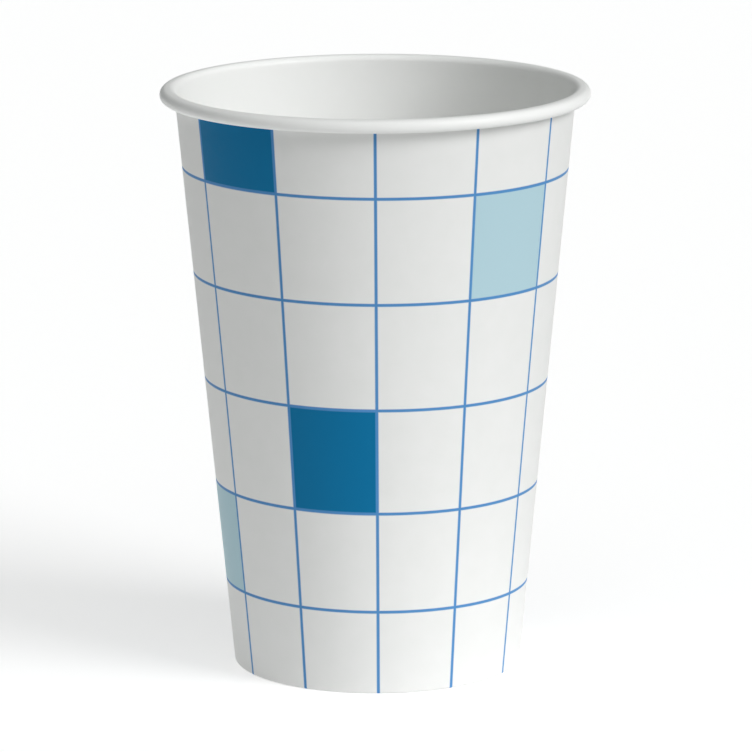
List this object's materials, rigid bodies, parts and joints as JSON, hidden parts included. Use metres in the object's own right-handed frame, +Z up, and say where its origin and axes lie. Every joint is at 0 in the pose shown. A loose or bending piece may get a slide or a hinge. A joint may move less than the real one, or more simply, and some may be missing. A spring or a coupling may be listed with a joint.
{
  "type": "paper cup",
  "caption": "Tapered single-wall paper cup for hot drinks, with a rolled rim, a lapped side seam, a folded foot and a recessed bottom.",
  "frame": {"origin": "middle of the foot, on the plane that the cup stands on", "axes": "+Z up through the mouth, -Y towards the viewer of the picture, +X to the viewer's right"},
  "size_m": [0.08, 0.08, 0.1094],
  "materials": {
    "wall_board": "coated white board, printed outside with a blue grid",
    "bottom_board": "coated white board"
  },
  "bodies": {
    "root": {"sidewall": "wall_board", "bottom": "bottom_board"}
  },
  "joints": []
}
